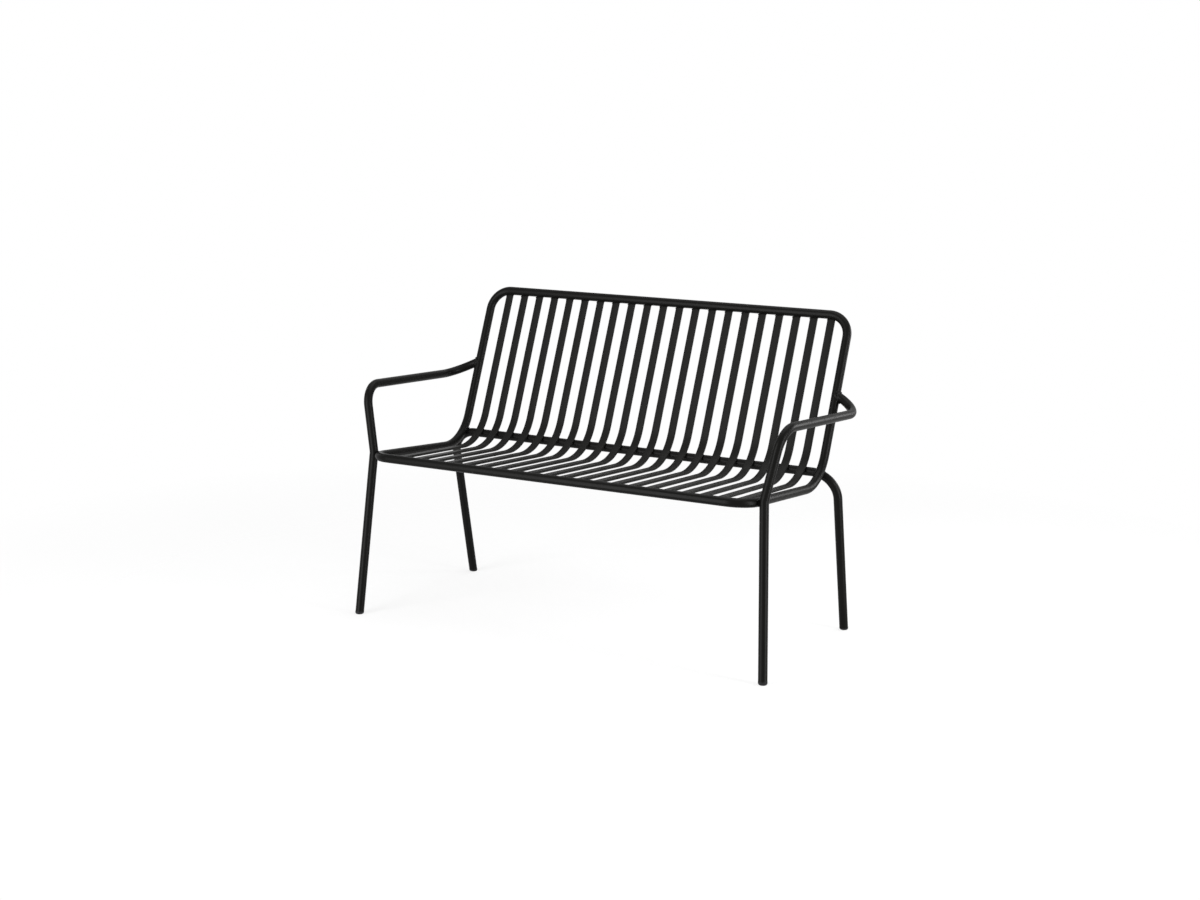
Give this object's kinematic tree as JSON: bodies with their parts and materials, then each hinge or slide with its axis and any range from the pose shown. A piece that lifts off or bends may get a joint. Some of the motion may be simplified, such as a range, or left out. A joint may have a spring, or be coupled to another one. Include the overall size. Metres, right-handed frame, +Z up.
{
  "type": "metal garden bench",
  "caption": "Two-seat garden bench of bent round steel tube, with flat bar slats running down the back and along the seat, slim arms and plastic feet.",
  "frame": {"origin": "on the floor, centred on the bounding box: midway between the front rail and the top rail", "axes": "+Z up, +X along the bench towards the sitter's left hand, +Y towards the back; the sitter faces -Y"},
  "size_m": [1.1942, 0.604, 0.798],
  "materials": {
    "black_powder_coat": "satin powder coat",
    "black_powder_coat_slats": "satin powder coat",
    "black_plastic": "matt moulded plastic"
  },
  "bodies": {
    "root": {"seat_back_frame": "black_powder_coat", "rear_leg_hoop": "black_powder_coat", "front_leg_arm_left": "black_powder_coat", "front_leg_arm_right": "black_powder_coat", "slat_01": "black_powder_coat_slats", "slat_02": "black_powder_coat_slats", "slat_03": "black_powder_coat_slats", "slat_04": "black_powder_coat_slats", "slat_05": "black_powder_coat_slats", "slat_06": "black_powder_coat_slats", "slat_07": "black_powder_coat_slats", "slat_08": "black_powder_coat_slats", "slat_09": "black_powder_coat_slats", "slat_10": "black_powder_coat_slats", "slat_11": "black_powder_coat_slats", "slat_12": "black_powder_coat_slats", "slat_13": "black_powder_coat_slats", "slat_14": "black_powder_coat_slats", "slat_15": "black_powder_coat_slats", "slat_16": "black_powder_coat_slats", "slat_17": "black_powder_coat_slats", "slat_18": "black_powder_coat_slats", "slat_19": "black_powder_coat_slats", "slat_20": "black_powder_coat_slats", "slat_21": "black_powder_coat_slats", "weld_beads_slats_left": "black_powder_coat", "weld_beads_slats_middle": "black_powder_coat", "weld_beads_slats_right": "black_powder_coat", "weld_beads_legs_and_arms": "black_powder_coat", "weld_beads_rear_tube_sides": "black_powder_coat", "glide_front_left": "black_plastic", "glide_front_right": "black_plastic", "glide_rear_left": "black_plastic", "glide_rear_right": "black_plastic"}
  },
  "joints": []
}
